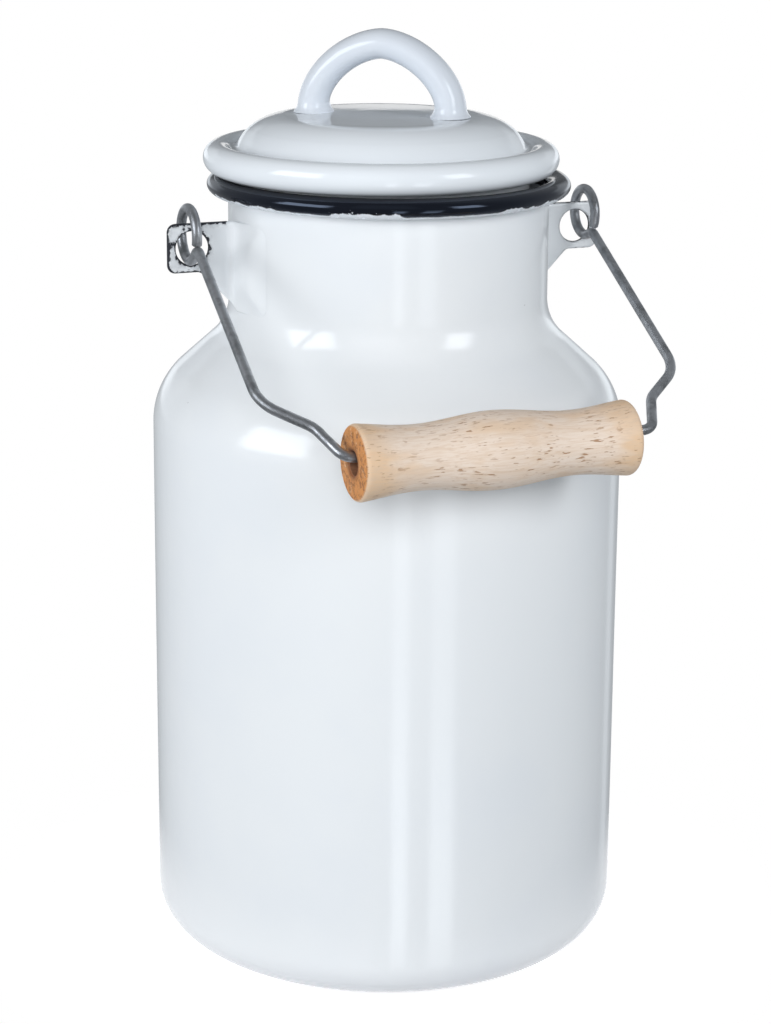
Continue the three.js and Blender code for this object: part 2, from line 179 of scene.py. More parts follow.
class MILKCAN_PG_bail(bpy.types.PropertyGroup):
    """Sizes of the bail's wire and its grip."""

    wire: length("Wire radius", "Radius of the wire", 0.0014)
    left_radius: length("Left eye radius", "Radius of the left eye, to the wire's middle", 0.0072)
    left_cut: angle("Left cut end", "Where that eye starts, above the arm", 15.0)
    left_root: angle("Left eye root", "Where that eye runs out, below the arm", 20)
    left_offset: offset("Left eye offset", "The arm leaves it this far over its centre", 0.0015)
    right_radius: length("Right eye radius", "Radius of the right eye", 0.0067)
    right_cut: angle("Right cut end", "Where that eye starts, above the arm", 1.3)
    right_root: angle("Right eye root", "Where that eye runs out, below the arm", 40)
    right_offset: offset("Right eye offset", "The arm leaves it this far over its centre", -0.0016)
    eye_inset: length("Eye inset", "Plane of the eye, from the ear's outer edge", 0.0054)
    root_bend: length("Root bend", "Bend between eye and arm", 0.0026)
    arm_length: length("Arm length", "Hinge line to the bend inwards", 0.0674)
    arm_bend: length("Arm bend", "Radius of that bend", 0.012)
    crank_step: length("Crank step", "How far the wire steps in", 0.0119)
    crank_rise: length("Crank rise", "Length over which it steps in", 0.0105)
    crank_bend: length("Crank bend", "Radius of the crank's second bend", 0.008)
    stand_off: length("Stand-off", "Corner beside the grip, from its end face", 0.0047)
    entry_bend: length("Entry bend", "Radius of the bend into the grip", 0.0044)
    grip_radius: length("Grip radius", "Mean radius of the grip", 0.0096)
    grip_swell: length("Grip swell", "How far the grip swells and narrows", 0.0009)
    grip_waist: length("Grip waist", "From the grip's middle to each waist", 0.022)
    grip_corner: length("Grip corner", "Rounded edge of the grip's ends", 0.0014)
    bore_radius: length("Bore radius", "Radius of the grip's bore", 0.0033)


class MILKCAN_PG_lid(bpy.types.PropertyGroup):
    """Sizes of the lid and its bow."""

    sheet: length("Sheet", "Thickness of the enamelled sheet", 0.001)
    curl_radius: length("Curl radius", "Radius of the lid's turned-down edge", 0.0043)
    curl_reach: length("Curl reach", "Centre line of that edge", 0.0461)
    curl_wrap: angle("Curl wrap", "How far the edge goes on, past its outermost point", 118)
    plateau_radius: length("Plateau radius", "Radius of the flat top", 0.0268)
    dome_shoulder: length("Dome shoulder", "Radius of the dome's round shoulder", 0.016)
    groove_radius: length("Groove radius", "Groove between the dome and its edge", 0.0014)
    crown: length("Crown", "How far the flat top drops towards its edge", 0.0004)
    skirt_radius: length("Skirt radius", "Outer radius of the skirt", 0.0421)
    skirt_lip: length("Skirt lip", "Height of the skirt's drawn-in edge", 0.003)
    turn: angle("Turn", "How far the lid stands turned in the mouth", -39)
    bow_span: length("Bow span", "Centre line of a leg, from the middle", 0.0201)
    bow_fullness: amount("Bow fullness", "2 is an ellipse, less makes its legs lean", 1.7)
    bow_thickness: length("Bow thickness", "Thickness of the bow, seen from the side", 0.0085)
    bow_width: length("Bow width", "Width of the bow across", 0.0114)
    bow_pad: length("Bow pad", "How far the enamel spreads at a foot", 0.0014)
    bow_pad_height: length("Bow pad height", "Height over which it spreads", 0.0024)


class MILKCAN_PG_finish(bpy.types.PropertyGroup):
    """Colours and gloss of the finishes."""

    white: colour("White enamel", "Enamel of the can and its ears", (0.825, 0.855, 0.88))
    white_deep: colour("Thin enamel", "Where the enamel lies thinner", (0.775, 0.815, 0.86))
    # Painted shade: the lid's enamel is a darker, bluer copy of the can's white, standing in for
    # the shade on its upward-facing dome.
    lid_white_painted_shade: colour("Lid enamel", "Cooler enamel of the lid", (0.79, 0.835, 0.88))
    # Painted shade: the bow's enamel is a darker, cooler copy of the can's white, standing in for
    # the shade on the bow.
    bow_white_painted_shade: colour("Bow enamel", "Cooler enamel of the lid's bow", (0.70, 0.75, 0.82))
    black: colour("Black enamel", "Enamel of the rim", (0.002, 0.0025, 0.005))
    black_tint: colour("Black tint", "Tint of what the rim mirrors", (0.62, 0.75, 1.0))
    ground: colour("Ground coat", "Dark coat that shows in the chips", (0.02, 0.022, 0.03))
    wire: colour("Wire", "Bare wire of the bail", (0.42, 0.43, 0.45))
    wire_dark: colour("Wire stain", "Darkened streaks on the wire", (0.17, 0.175, 0.18))
    wire_rubbed: colour("Rubbed wire", "Brighter rubbed places", (0.62, 0.63, 0.64))
    beech: colour("Beech", "Pale wood of the grip", (0.85, 0.73, 0.63))
    beech_warm: colour("Warm beech", "Warmer patches and ends of the grip", (0.79, 0.56, 0.36))
    beech_late: colour("Beech latewood", "Darker lines of the grain", (0.72, 0.55, 0.41))
    beech_ray: colour("Beech rays", "Short dark flecks in the grain", (0.42, 0.24, 0.13))
    beech_end: colour("Beech end grain", "Sawn ends of the grip", (0.62, 0.25, 0.065))
    # This dark colour also paints the shade inside the grip's bore.
    beech_pore: colour("Beech pores", "Dark pores in the end grain", (0.2, 0.06, 0.018))
    gloss: amount("Gloss", "Roughness of the lid's enamel", 0.06)
    body_gloss: amount("Body gloss", "Roughness of the can's enamel", 0.12)
    orange_peel: amount("Orange peel", "Height of the enamel's ripple in millimetres", 0.018)


class MILKCAN_PG_studio(bpy.types.PropertyGroup):
    """The photograph's camera, the soft light round the can, and the floor."""

    lens: amount("Focal length", "Focal length in millimetres on a 36 mm film", 88.6)
    distance: length("Distance", "Camera to the can's axis, along the floor", 0.7096)
    height: length("Height", "Height of the camera over the floor", 0.3262)
    azimuth: angle("Azimuth", "Turn of the camera about the can, to the left of the front", 22)
    pitch: angle("Pitch", "How far the camera looks down", 13.58)
    roll: angle("Roll", "Tilt of the camera about its own axis", 0.441)
    shift_x: FloatProperty(name="Shift X", description="Sideways lens shift", default=-0.00156)
    shift_y: FloatProperty(name="Shift Y", description="Upward lens shift", default=-0.1)
    overhead: amount("Overhead", "Strength of the soft light from straight above", 0.1)
    around: amount("Around", "Strength of the soft light from the sides", 0.49)
    below: amount("Below", "Strength of the light that comes up from the floor", 0.52)
    shadow_side: amount("Shadow side", "How much of that is missing on the right", 0.12)
    walls: amount("Walls", "Brightness of the room's walls, as the enamel mirrors them", 0.38)
    ceiling: amount("Ceiling", "Brightness of the room's ceiling, as the enamel mirrors it", 0.2)
    floor_radius: length("Floor radius", "Radius at which the floor has run out to white", 0.13)
    floor_lift: amount("Floor lift", "How much the floor is raised towards white", 0.7)


class MILKCAN_PG_detail(bpy.types.PropertyGroup):
    """How finely the meshes are divided."""

    around: count("Around", "Faces round the can and its lid", 288)
    grip_sides: count("Grip", "Faces round the grip", 128)
    wire_sides: count("Wire", "Faces round the wire", 24)
    bow_sides: count("Bow", "Faces round the bow", 48)


GROUPS = {
    "milk_can_body": MILKCAN_PG_can,
    "milk_can_ear": MILKCAN_PG_ear,
    "milk_can_bail": MILKCAN_PG_bail,
    "milk_can_lid": MILKCAN_PG_lid,
    "milk_can_finish": MILKCAN_PG_finish,
    "milk_can_studio": MILKCAN_PG_studio,
    "milk_can_detail": MILKCAN_PG_detail,
}


class Value:
    """A socket of a node tree. Arithmetic on it adds Math nodes."""

    def __init__(self, recipe, socket):
        self.recipe = recipe
        self.socket = socket

    def math(self, operation, *values):
        """A Math node that works on these values."""
        inputs = dict(enumerate(values))
        return self.recipe.node("ShaderNodeMath", {"operation": operation}, inputs)

    def __add__(self, other):
        return self.math("ADD", self, other)

    def __radd__(self, other):
        return self.math("ADD", other, self)

    def __sub__(self, other):
        return self.math("SUBTRACT", self, other)

    def __rsub__(self, other):
        return self.math("SUBTRACT", other, self)

    def __mul__(self, other):
        return self.math("MULTIPLY", self, other)

    def __rmul__(self, other):
        return self.math("MULTIPLY", other, self)

    def __neg__(self):
        return self.math("MULTIPLY", self, -1.0)

    def most(self, other):
        """The larger of the two."""
        return self.math("MAXIMUM", self, other)

    def out(self, name):
        """Another output of the node that this socket is on."""
        return Value(self.recipe, self.socket.node.outputs[name])


class Recipe:
    """A node tree and the few kinds of node that its finish is made of."""

    def __init__(self, owner):
        owner.use_nodes = True
        self.owner = owner
        self.tree = owner.node_tree
        self.tree.nodes.clear()

    def node(self, kind, settings=None, inputs=None, output=0):
        """Adds a node: its settings first, then the values or links of its sockets."""
        made = self.tree.nodes.new(kind)
        for key, value in (settings or {}).items():
            setattr(made, key, value)
        for key, value in (inputs or {}).items():
            if isinstance(value, Value):
                self.tree.links.new(value.socket, made.inputs[key])
            else:
                made.inputs[key].default_value = value
        return Value(self, made.outputs[output] if len(made.outputs) else None)

    def mix(self, factor, first, second):
        """A blend of two colours."""
        settings = {"data_type": "RGBA", "clamp_factor": True}
        return self.node("ShaderNodeMix", settings, {0: factor, 6: first, 7: second}, 2)

    def band(self, value, low, high):
        """0 below low and 1 above high, with a smooth step between. High may be the lower one."""
        settings = {"interpolation_type": "SMOOTHSTEP"}
        inputs = {"Value": value, "From Min": low, "From Max": high}
        return self.node("ShaderNodeMapRange", settings, inputs)

    def place(self, stretch=(1.0, 1.0, 1.0), shift=(0.0, 0.0, 0.0)):
        """The place on the piece in millimetres, stretched and shifted."""
        where = self.node("ShaderNodeTexCoord", output="Object")
        scale = tuple(MM * share for share in stretch)
        settings = {"operation": "MULTIPLY_ADD"}
        return self.node("ShaderNodeVectorMath", settings, {0: where, 1: scale, 2: shift})

    def axis(self, name):
        """One coordinate of the place on the piece, in millimetres."""
        return self.node("ShaderNodeSeparateXYZ", None, {0: self.place()}, name)

    def length(self, vector):
        """The length of a vector."""
        return self.node("ShaderNodeVectorMath", {"operation": "LENGTH"}, {0: vector}, "Value")

    def noise(self, size, detail=3.0, roughness=0.5, stretch=(1.0, 1.0, 1.0), shift=0.0, warp=0.0):
        """Cloudy noise from 0 to 1 with features of about that size in millimetres."""
        inputs = {
            "Vector": self.place(stretch, (shift, shift, shift)),
            "Scale": 1.0 / size,
            "Detail": detail,
            "Roughness": roughness,
            "Distortion": warp,
        }
        return self.node("ShaderNodeTexNoise", None, inputs)

    def clouds(self, low, high, *look, **more):
        """A mask of cloudy patches: noise of that look, cut off softly between two levels."""
        return self.band(self.noise(*look, **more), low, high)

    def specks(self, spacing, radius, share):
        """A mask of small round specks. Share is how many of the cells hold one."""
        inputs = {"Vector": self.place(), "Scale": 1.0 / spacing, "Randomness": 1.0}
        cells = self.node("ShaderNodeTexVoronoi", {"feature": "F1"}, inputs)
        picked = self.node("ShaderNodeSeparateColor", None, {0: cells.out("Color")})
        size = radius / spacing
        dots = self.band(cells.out("Distance"), size, size * 0.6)
        return dots * self.band(picked, 1.0 - share, 1.0 - share + 0.01)

    def attribute(self, name):
        """A number that the mesh holds at each of its points."""
        return self.node("ShaderNodeAttribute", {"attribute_name": name}, None, "Fac")

    def finish(self, inputs, height):
        """Ends a material: its surface, and a bump of that height in millimetres."""
        relief = {"Height": height, "Distance": 1.0 / MM, "Strength": 1.0}
        bump = self.node("ShaderNodeBump", None, relief)
        surface = self.node("ShaderNodeBsdfPrincipled", None, {**inputs, "Normal": bump})
        self.node("ShaderNodeOutputMaterial", None, {"Surface": surface})
        return self.owner


def new_recipe(name):
    """The recipe of a new material."""
    return Recipe(bpy.data.materials.new(name))


def enamel_ripple(recipe, finish):
    """The gentle unevenness of fired enamel, in millimetres."""
    broad = recipe.noise(14.0, 2.0, 0.4) * 3.0
    fine = recipe.noise(2.6, 2.0, 0.5, shift=31.0)
    return (broad + fine) * finish.orange_peel


def white_enamel(finish, name, white, gloss):
    """Fired white enamel: a cool white that thins a little, faint scuffs and a few dark specks."""
    recipe = new_recipe(name)
    thin = recipe.clouds(0.42, 0.72, 38.0, 3.0, 0.5)
    base = recipe.mix(thin * 0.45, white, finish.white_deep)
    specks = recipe.specks(9.0, 0.16, 0.22)
    coloured = recipe.mix(specks * 0.75, base, finish.ground)
    scuffs = recipe.clouds(0.56, 0.75, 5.0, 6.0, 0.7, (1.0, 1.0, 0.2), 12.0)
    inputs = {
        "Base Color": coloured,
        "Roughness": scuffs * 0.07 + gloss,
        "IOR": GLAZE_IOR,
    }
    return recipe.finish(inputs, enamel_ripple(recipe, finish) - specks * 0.03)


def rim_enamel(finish, can):
    """Black enamel, dipped by hand: a ragged lower edge, and near its foot white flecks that are
    partly chips baring the white below and partly painted glints of the white backdrop.
    """
    recipe = new_recipe("black_enamel")
    height = recipe.axis("Z") - can.rim_foot * MM
    ragged = recipe.noise(3.2, 4.0, 0.6, shift=7.0) * 2.4
    patchy = recipe.clouds(0.5, 0.62, 17.0, 2.0, 0.5, shift=3.0)
    dip = recipe.band(height - ragged * (patchy * 0.7 + 0.3), 0.05, -0.25)
    # Partly painted highlight: these white flecks near the rim's foot stand for chips and also for
    # glints of the white backdrop.
    chips = recipe.clouds(0.66, 0.7, 1.9, 3.0, 0.6, shift=19.0)
    low = recipe.band(height, 2.6, 1.2)
    # Where white shows: the ragged dip edge, and the flecks near the foot that are partly painted
    # glints.
    bare = dip.most(chips * low * patchy)
    smoky = recipe.noise(24.0, 3.0, 0.5, shift=5.0)
    black = recipe.mix(smoky * 0.25, finish.black, finish.ground)
    inputs = {
        "Base Color": recipe.mix(bare, black, finish.white_deep),
        "Roughness": bare * 0.2 + recipe.noise(6.0, 4.0, 0.6) * 0.05 + finish.gloss * 0.8,
        "IOR": GLAZE_IOR,
        "Specular Tint": finish.black_tint,
    }
    return recipe.finish(inputs, enamel_ripple(recipe, finish) - bare * 0.12)


def ear_enamel(finish, name, wear):
    """White enamel over a dark ground coat that shows where the cut edges have chipped."""
    recipe = new_recipe(name)
    edge = recipe.attribute("edge_distance") * MM
    rough_edge = (recipe.noise(1.6, 5.0, 0.65, shift=2.0) * 3.6 - 0.75) * wear
    worn = recipe.band(edge - rough_edge, 0.12, -0.12)
    halo = recipe.band(edge - rough_edge, 1.1, 0.1)
    thin = recipe.mix(halo * 0.4, finish.white, finish.wire)
    mottled = recipe.mix(recipe.noise(3.0, 3.0, 0.6) * 0.3, thin, finish.white_deep)
    inputs = {
        "Base Color": recipe.mix(worn, mottled, finish.ground),
        "Roughness": worn * 0.35 + finish.gloss * 1.6,
        "IOR": GLAZE_IOR,
    }
    return recipe.finish(inputs, enamel_ripple(recipe, finish) * 2.0 - worn * 0.08)


def wire_steel(finish):
    """Drawn wire gone dull, with draw marks along it, dark stains and brighter rubbed places."""
    recipe = new_recipe("steel_wire")
    stains = recipe.clouds(0.42, 0.68, 6.0, 5.0, 0.65)
    rubbed = recipe.clouds(0.58, 0.7, 2.2, 4.0, 0.7, shift=9.0)
    marks = recipe.noise(0.5, 5.0, 0.7, (1.0, 0.25, 0.25), 4.0)
    base = recipe.mix(stains * 0.7, finish.wire, finish.wire_dark)
    bright = recipe.mix(rubbed * 0.35, base, finish.wire_rubbed)
    inputs = {
        "Base Color": bright,
        "Metallic": 0.9,
        "Roughness": stains * 0.14 + marks * 0.16 + 0.26,
    }
    return recipe.finish(inputs, marks * 0.03 + recipe.noise(1.2, 4.0, 0.6) * 0.03)


def beech_wood(finish, centre, half_length, bore):
    """Turned beech: straight grain, short dark ray flecks, warm end grain with its pores, and
    painted shade inside the bore.
    """
    recipe = new_recipe("beech")
    grain = recipe.noise(2.4, 5.0, 0.6, (0.07, 1.0, 1.0), 2.0, warp=0.5)
    fibres = recipe.noise(0.42, 3.0, 0.6, (0.05, 1.0, 1.0), 21.0)
    broad = recipe.noise(11.0, 2.0, 0.5, (0.2, 1.0, 1.0), 8.0)
    lines = recipe.band(grain, 0.4, 0.72) * 0.35 + recipe.band(fibres, 0.42, 0.66) * 0.45
    sideways = recipe.axis("X") - centre.x * MM
    along = sideways.math("ABSOLUTE", sideways)
    across = recipe.place((0.0, 1.0, 1.0), (0.0, -centre.y * MM, -centre.z * MM))
    from_axis = recipe.length(across)
    tip = half_length * MM
    hole = bore * MM
    ends = recipe.band(along + broad * 4.0, tip - 9.0, tip + 1.0)
    warmth = recipe.clouds(0.46, 0.64, 8.0, 3.0, 0.6, (0.35, 1.0, 1.0), 33.0)
    tone = recipe.mix(warmth * 0.6 + ends * 0.8, finish.beech, finish.beech_warm)
    base = recipe.mix(lines + broad * 0.2, tone, finish.beech_late)
    dashes = recipe.clouds(0.6, 0.68, 0.55, 2.0, 0.5, (0.16, 1.0, 1.0), 40.0)
    smudges = recipe.clouds(0.64, 0.72, 2.1, 3.0, 0.6, (0.42, 1.0, 1.0), 52.0)
    patches = recipe.clouds(0.38, 0.6, 9.0, 2.0, 0.5, (0.4, 1.0, 1.0), 15.0)
    flecks = (dashes * (patches * 0.75 + 0.2)).most(smudges * 0.6)
    flecked = recipe.mix(flecks, base, finish.beech_ray)
    sawn = recipe.band(along, tip - 0.5, tip - 0.1)
    singed = recipe.band(from_axis, hole + 2.0, hole)
    pores = recipe.clouds(0.48, 0.64, 1.3, 4.0, 0.7, (0.05, 1.0, 1.0), 60.0)
    torn = recipe.clouds(0.56, 0.7, 1.8, 3.0, 0.6, (0.05, 1.0, 1.0), 71.0)
    cut = recipe.mix(torn * 0.6, finish.beech_end, finish.beech_warm)
    end = recipe.mix((pores * 0.75).most(singed * 0.9), cut, finish.beech_pore)
    # Painted shade: the inside of the bore and the foot of its chamfer are darkened towards the
    # pore colour.
    inside = recipe.band(from_axis, hole + 0.35, hole + 0.1)
    turned = recipe.mix(inside * 0.85, flecked, finish.beech_pore)
    inputs = {
        "Base Color": recipe.mix(sawn * 0.9, turned, end),
        "Roughness": grain * 0.15 + sawn * 0.2 + 0.48,
        "IOR": WOOD_IOR,
    }
    return recipe.finish(inputs, grain * 0.05 - flecks * 0.05 - sawn * pores * 0.1)


def arc(centre, radius, start, end, steps, rise=None):
    """Points on an arc in radius and height, or on part of an ellipse where rise is given."""
    rise = radius if rise is None else rise
    points = []
    for step in range(steps + 1):
        turn = math.radians(start + (end - start) * step / steps)
        points.append(centre + Vector((radius * math.cos(turn), rise * math.sin(turn))))
    return points


def straight(start, end, steps):
    """Evenly spaced points from start to end, without the last one."""
    return [start.lerp(end, step / steps) for step in range(steps)]


def bearing(start, end):
    """The direction from one point to another, in degrees."""
    return math.degrees(math.atan2(end.y - start.y, end.x - start.x))


def rounded_route(corners, steps):
    """Corners joined by straight lines, each inner corner rounded to its own radius."""
    route = [corners[0][0]]
    for (before, _), (at, bend), (after, _) in zip(corners, corners[1:], corners[2:]):
        back = (before - at).normalized()
        ahead = (after - at).normalized()
        half = back.angle(ahead) / 2
        centre = at + (back + ahead).normalized() * (bend / math.sin(half))
        start = at + back * (bend / math.tan(half))
        end = at + ahead * (bend / math.tan(half))
        first = start - centre
        last = end - centre
        whole = first.angle(last)
        for step in range(steps + 1):
            share = step / steps
            spoke = first * math.sin((1 - share) * whole) + last * math.sin(share * whole)
            route.append(centre + spoke / math.sin(whole))
    route.append(corners[-1][0])
    return route


def settings(context, name):
    """One of the groups of sizes."""
    return getattr(context.scene, "milk_can_" + name)


def clamped(value):
    """The value, kept from 0 to 1."""
    return min(max(value, 0.0), 1.0)


def eased(value):
    """A smooth step from 0 to 1."""
    share = clamped(value)
    return share * share * (3 - 2 * share)


def oval(width, height, sides):
    """Points round an oval of that half width and half height."""
    turns = [2 * math.pi * step / sides for step in range(sides)]
    return [(width * math.cos(turn), height * math.sin(turn)) for turn in turns]


def bridge(pairs):
    """Faces between pairs of rings of point numbers. A ring on the axis gives three-sided ones."""
    faces = []
    for low, high in pairs:
        for step, here in enumerate(low):
            ahead = (step + 1) % len(low)
            face = [here, low[ahead], high[ahead], high[step]]
            faces.append(list(dict.fromkeys(face)))
    return faces


def new_piece(name, mesh_data, material, body, slot, *nodes):
    """A finished mesh as a piece: smooth, with its material, riding on its body."""
    points, faces, attributes = mesh_data
    mesh = bpy.data.meshes.new(name)
    mesh.from_pydata([tuple(point) for point in points], [], faces)
    mesh.validate()
    tidy = bmesh.new()
    tidy.from_mesh(mesh)
    bmesh.ops.recalc_face_normals(tidy, faces=tidy.faces)
    tidy.to_mesh(mesh)
    tidy.free()
    for key, values in attributes.items():
        layer = mesh.attributes.new(key, "FLOAT", "POINT")
        layer.data.foreach_set("value", values)
    mesh.shade_smooth()
    mesh.set_sharp_from_angle(angle=SHARP_EDGE)
    mesh.materials.append(material)
    piece = bpy.data.objects.new(name, mesh)
    bpy.context.scene.collection.objects.link(piece)
    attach(piece, body)
    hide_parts(*nodes)


def wander(turn, height, size, seed):
    """Slow unevenness from 0 to 1 round a turned piece."""
    spot = Vector((math.cos(turn), math.sin(turn), height)) / size
    return clamped(noise.noise(spot + Vector((seed, 0.0, 0.0))) * 0.8 + 0.5)


def revolve(outline, around, depth=0.0, seed=0.0):
    """An outline in radius and height, turned about Z. Depth is how far its surface wanders in."""
    points = []
    rings = []
    for at in outline:
        if at.x < ON_AXIS:
            rings.append([len(points)] * around)
            points.append(Vector((0.0, 0.0, at.y)))
            continue
        ring = []
        for step in range(around):
            turn = 2 * math.pi * step / around
            radius = at.x - depth * wander(turn, at.y / WANDER_LENGTH, 1.1, seed)
            ring.append(len(points))
            points.append(Vector((radius * math.cos(turn), radius * math.sin(turn), at.y)))
        rings.append(ring)
    pairs = list(zip(rings, rings[1:]))
    if max(outline[0].x, outline[-1].x) >= ON_AXIS:
        pairs.append((rings[-1], rings[0]))
    return points, bridge(pairs), {}


def sweep(stations, section, side):
    """A closed rod along stations. Section gives its points there, along side and across it."""
    count = len(stations)
    points = []
    rings = []
    for step, at in enumerate(stations):
        before = stations[max(step - 1, 0)]
        after = stations[min(step + 1, count - 1)]
        tangent = (after - before).normalized()
        side = (side - tangent * side.dot(tangent)).normalized()
        up = tangent.cross(side)
        ring = []
        for across, rise in section(step):
            ring.append(len(points))
            points.append(at + side * across + up * rise)
        rings.append(ring)
    faces = bridge(zip(rings, rings[1:]))
    return points, [*faces, rings[0][::-1], rings[-1]], {}


def moved(mesh_data, matrix):
    """The same mesh in another place."""
    points, faces, attributes = mesh_data
    return [matrix @ point for point in points], faces, attributes


def shoulder_face(can, grow):
    """The face of the can from the seam to the rim, moved outwards by grow."""
    slope = math.degrees(can.shoulder_slope)
    turn = can.shoulder_slope
    shoulder = Vector((can.body_radius - can.shoulder_radius, can.wall_height))
    drop = can.shoulder_radius * math.sin(turn)
    reach = can.body_radius - can.shoulder_radius * (1 - math.cos(turn))
    throat_reach = can.neck_radius + can.throat_radius * (1 - math.cos(turn))
    throat_height = can.wall_height + drop + (reach - throat_reach) / math.tan(turn)
    neck_foot = throat_height + can.throat_radius * math.sin(turn)
    throat = Vector((can.neck_radius + can.throat_radius, neck_foot))
    wall = Vector((can.body_radius + grow, can.seam_height))
    wall_top = Vector((can.body_radius + grow, can.wall_height))
    neck_top = Vector((can.neck_radius + grow, can.rim_foot))
    bend = arc(shoulder, can.shoulder_radius + grow, 0, slope, steps=24)
    hollow = arc(throat, can.throat_radius - grow, 180 + slope, 180, steps=20)
    return [
        *straight(wall, wall_top, steps=40),
        *bend[:-1],
        *straight(bend[-1], hollow[0], steps=6),
        *hollow[:-1],
        *straight(hollow[-1], neck_top, steps=10),
        neck_top,
    ]


def base_outline(can):
    """The base: floor with its pressed bead, round corner and short wall."""
    corner = Vector((can.body_radius - can.corner_radius, can.corner_radius))
    inner = can.bead_radius - can.bead_width / 2
    outer = can.bead_radius + can.bead_width / 2
    steps = 8
    under = [Vector((0.0, 0.0)), Vector((inner - can.bead_height, 0.0))]
    for flank, slope in ((inner, -1), (outer, 1)):
        for step in range(1, steps):
            share = step / steps
            rise = can.bead_height * (1 + slope * math.cos(math.pi * share)) / 2
            under.append(Vector((flank + can.bead_height * (share * 2 - 1), rise)))
    under.append(Vector((outer + can.bead_height, 0.0)))
    inside = [point + Vector((0.0, can.sheet)) for point in under]
    wall = can.body_radius
    return [
        *under,
        *arc(corner, can.corner_radius, -90, 0, steps=24),
        Vector((wall, can.seam_height)),
        Vector((wall - can.sheet, can.seam_height)),
        *arc(corner, can.corner_radius - can.sheet, 0, -90, steps=18),
        *reversed(inside),
    ]


class MILKCAN_OT_body(bpy.types.Operator):
    """Builds the can's wall with its shoulder and neck, and the base under it"""

    bl_idname = "milk_can.body"
    bl_label = "Can body and base"

    def execute(self, context):
        can = settings(context, "body")
        around = settings(context, "detail").around
        finish = settings(context, "finish")
        enamel = white_enamel(finish, "white_enamel", finish.white, finish.body_gloss)
        outline = [*shoulder_face(can, 0.0), *reversed(shoulder_face(can, -can.sheet))]
        wall = revolve(outline, around, can.waviness)
        new_piece("can_wall", wall, enamel, "can", "white_enamel", "can_body")
        base = revolve(base_outline(can), around, can.waviness)
        new_piece("can_base", base, enamel, "can", "white_enamel", "base_pan")
        return {"FINISHED"}


class MILKCAN_OT_rim(bpy.types.Operator):
    """Builds the mouth's rolled edge in black enamel"""

    bl_idname = "milk_can.rim"
    bl_label = "Rolled rim"

    def execute(self, context):
        can = settings(context, "body")
        around = settings(context, "detail").around
        bore = can.neck_radius - can.sheet
        half_width = (can.rim_radius + can.rim_glaze - bore) / 2
        half_height = (can.rim_top - can.rim_foot + can.rim_glaze) / 2
        centre = Vector((bore + half_width, can.rim_top - half_height))
        wrap = math.degrees(can.rim_wrap)
        inside_width = half_width - can.sheet
        inside_height = half_height - can.sheet
        outline = [
            Vector((bore, can.rim_foot)),
            *arc(centre, half_width, 180, -wrap, steps=48, rise=half_height),
            *arc(centre, inside_width, -wrap, 180, steps=32, rise=inside_height),
            Vector((can.neck_radius, can.rim_foot)),
        ]
        roll = revolve(outline, around, can.waviness, seed=4.0)
        enamel = rim_enamel(settings(context, "finish"), can)
        new_piece("rolled_rim", roll, enamel, "can", "black_enamel", "mouth_rim")
        return {"FINISHED"}


class EarSheet:
    """The sheet of an ear, unrolled: along runs from the tab's outer edge to the flange's end."""

    def __init__(self, ear, can):
        self.ear = ear
        self.middle = ear.sheet / 2
        seat = can.neck_radius - can.sheet * WELD_SINK
        outer = seat + ear.sheet
        side = self.middle + ear.bend
        self.bend_centre = Vector((math.sqrt((outer + ear.bend) ** 2 - side**2), side))
        self.start = math.atan2(self.bend_centre.y, self.bend_centre.x)
        self.bend_radius = ear.bend + self.middle
        self.tab_length = ear.reach - self.bend_centre.x
        self.bend_length = self.bend_radius * (math.pi / 2 - self.start)
        self.flange_radius = seat + self.middle
        self.flange_start = self.tab_length + self.bend_length
        self.length = self.flange_start + ear.flange
        self.hole = Vector((ear.hole_inset, ear.top - ear.hole_drop))

    def buried(self, along, height):
        """How far the enamel buries the sheet at this place, from 0 on the tab to 1 at its edge."""
        ear = self.ear
        edge = min(self.length - along, ear.top - height, height - ear.foot)
        bare = eased(edge / ear.weld_blend)
        start = self.tab_length + self.bend_length * 0.35
        return (1 - bare) * eased((along - start) / (ear.weld_blend * 1.4))

    def place(self, along, height, out):
        """The point of the bent sheet, where out is its distance from the sheet's middle."""
        out = -self.middle + (out + self.middle) * (1 - self.buried(along, height))
        if along <= self.tab_length:
            return Vector((self.ear.reach - along, out, height))
        if along <= self.flange_start:
            turn = -math.pi / 2 - (along - self.tab_length) / self.bend_radius
            radius = self.bend_radius - out
            x = self.bend_centre.x + radius * math.cos(turn)
            return Vector((x, self.bend_centre.y + radius * math.sin(turn), height))
        turn = self.start + (along - self.flange_start) / self.flange_radius
        radius = self.flange_radius + out
        return Vector((radius * math.cos(turn), radius * math.sin(turn), height))

    def outline(self, can):
        """The ear's edge as it lies unrolled, going round once."""
        ear = self.ear
        tab_foot = ear.top - ear.tab_height
        slant = ear.reach - can.neck_radius - ear.foot_width
        corners = [
            (Vector((ear.tab_corner * 2, ear.top, 0.0)), 0.0),
            (Vector((0.0, ear.top, 0.0)), ear.tab_corner),
            (Vector((0.0, tab_foot, 0.0)), ear.tab_corner),
            (Vector((slant, tab_foot, 0.0)), ear.tab_corner),
            (Vector((self.flange_start, ear.foot, 0.0)), ear.tab_corner),
            (Vector((self.length, ear.foot, 0.0)), ear.flange_corner),
            (Vector((self.length, ear.top, 0.0)), ear.flange_corner),
            (Vector((ear.tab_corner * 2, ear.top, 0.0)), 0.0),
        ]
        route = rounded_route(corners, 8)
        return evenly(route[:-1], EDGE_SPACING)

    def hole_loop(self):
        """The hole's edge, going round the other way."""
        circle = arc(self.hole, self.ear.hole_radius, 360, 0, steps=40)
        return [point.to_3d() for point in circle[:-1]]


def evenly(route, spacing):
    """A closed route with more points on its long stretches."""
    points = []
    for at, after in zip(route, [*route[1:], route[0]]):
        parts = max(1, round((after - at).length / spacing))
        points.extend(straight(at, after, parts))
    return points


